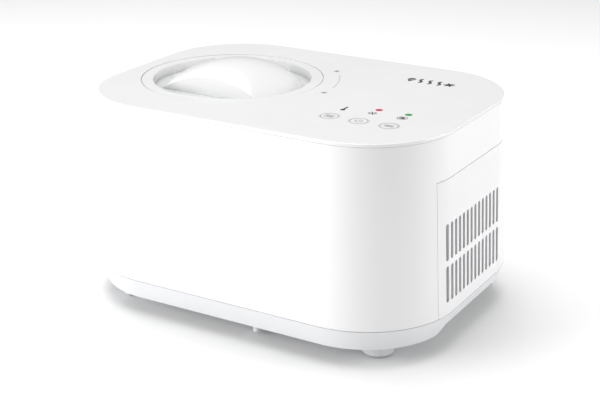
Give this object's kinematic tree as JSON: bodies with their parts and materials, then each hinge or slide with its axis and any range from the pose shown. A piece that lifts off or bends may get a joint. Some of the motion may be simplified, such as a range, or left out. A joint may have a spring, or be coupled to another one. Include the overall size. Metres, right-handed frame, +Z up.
{
  "type": "ice cream maker",
  "caption": "Self-cooling ice cream maker with a rounded white housing, a flush twist lid over a removable bowl and paddle, press buttons and a slotted end grille.",
  "frame": {"origin": "middle of the footprint, on the surface it stands on", "axes": "+X towards the end with the slotted grille, -Y towards the front, +Z up"},
  "size_m": [0.385, 0.286, 0.2265],
  "materials": {
    "white_shell": "glossy white moulding",
    "grille_white": "glossy white moulding",
    "tray_grey": "satin pale grey moulding",
    "black_rubber": "matt black rubber",
    "clear_cover": "clear moulded plastic",
    "silicone": "translucent silicone",
    "indicator_lens": "tinted indicator window",
    "circuit_board": "green solder mask",
    "black_parts": "matt black moulding",
    "screw_steel": "zinc plated",
    "bowl_aluminium": "satin aluminium",
    "foam": "cream insulating foam",
    "copper_tube": "drawn copper",
    "paddle_plastic": "translucent white moulding",
    "steel_parts": "bright steel",
    "nylon_gear": "natural nylon",
    "bronze_bush": "sintered bronze",
    "black_paint": "black enamel"
  },
  "bodies": {
    "base": {"housing": "white_shell", "top_cover": "white_shell", "grille_panel": "grille_white", "base_tray": "tray_grey", "feet": "tray_grey", "foot_pads": "black_rubber", "compressor_grommets": "black_rubber", "well_gasket": "silicone", "shaft_seal": "silicone", "indicator_windows": "indicator_lens", "indicator_lamps": "indicator_lens", "control_board": "circuit_board", "power_board": "circuit_board", "button_switches": "black_parts", "power_board_components": "black_parts", "start_relay": "black_parts", "fan_shroud": "black_parts", "fan_motor": "black_parts", "cord_gland": "black_parts", "temperature_sensor": "black_parts", "base_screws": "screw_steel", "control_board_screws": "screw_steel", "bracket_screws": "screw_steel", "power_board_screws": "screw_steel", "compressor_bolts": "screw_steel", "cooling_well": "bowl_aluminium", "condenser_fins": "bowl_aluminium", "well_insulation": "foam", "evaporator_coil": "copper_tube", "condenser_tube": "copper_tube", "discharge_pipe": "copper_tube", "suction_pipe": "copper_tube", "filter_drier": "copper_tube", "gear_bracket": "steel_parts", "bracket_pillars": "steel_parts", "paddle_motor": "steel_parts", "power_board_posts": "nylon_gear", "lower_bush": "bronze_bush", "upper_bush": "bronze_bush", "compressor": "black_paint"},
    "lid_carrier": {"lid_seal": "silicone"},
    "lid": {"lid_ring": "white_shell", "lid_window": "clear_cover", "lid_handle": "white_shell"},
    "bowl_body": {"bowl": "bowl_aluminium"},
    "paddle_body": {"paddle": "paddle_plastic"},
    "drive": {"drive_shaft": "steel_parts", "drive_gear": "nylon_gear"},
    "pinion": {"motor_pinion": "nylon_gear", "motor_shaft": "steel_parts"},
    "fan": {"fan_blades": "black_parts"},
    "mix_button_body": {"mix_button": "white_shell"},
    "power_button_body": {"power_button": "white_shell"},
    "menu_button_body": {"menu_button": "white_shell"}
  },
  "joints": [
    {"name": "lid_lift", "type": "slide", "parent": "base", "child": "lid_carrier", "axis": [0, 0, 1], "range_m": [0, 0.26]},
    {"name": "lid_turn", "type": "hinge", "parent": "lid_carrier", "child": "lid", "pos_m": [-0.078, 0, 0.205], "axis": [0, 0, 1], "range_deg": [0, 50]},
    {"name": "bowl_lift", "type": "slide", "parent": "base", "child": "bowl_body", "axis": [0, 0, 1], "range_m": [0, 0.13]},
    {"name": "shaft_turn", "type": "hinge", "parent": "base", "child": "drive", "pos_m": [-0.078, 0, 0.067], "axis": [0, 0, 1], "continuous": true},
    {"name": "paddle_lift", "type": "slide", "parent": "drive", "child": "paddle_body", "axis": [0, 0, 1], "range_m": [0, 0.242]},
    {"name": "pinion_turn", "type": "hinge", "parent": "base", "child": "pinion", "pos_m": [-0.03425, 0, 0.067], "axis": [0, 0, 1], "continuous": true},
    {"name": "fan_turn", "type": "hinge", "parent": "base", "child": "fan", "pos_m": [0.134, -0.00433, 0.087], "axis": [1, 0, 0], "continuous": true},
    {"name": "mix_press", "type": "slide", "parent": "base", "child": "mix_button_body", "axis": [0, 0, -1], "range_m": [0, 0.0008], "stiffness_N_per_m": 900, "springref_m": -0.0006},
    {"name": "power_press", "type": "slide", "parent": "base", "child": "power_button_body", "axis": [0, 0, -1], "range_m": [0, 0.0008], "stiffness_N_per_m": 900, "springref_m": -0.0006},
    {"name": "menu_press", "type": "slide", "parent": "base", "child": "menu_button_body", "axis": [0, 0, -1], "range_m": [0, 0.0008], "stiffness_N_per_m": 900, "springref_m": -0.0006}
  ],
  "couplings": [
    {"joint": "bowl_lift", "follows": "lid_lift", "ratio": 0.5},
    {"joint": "paddle_lift", "follows": "lid_lift", "ratio": 0.93},
    {"joint": "pinion_turn", "follows": "shaft_turn", "ratio": -4}
  ]
}
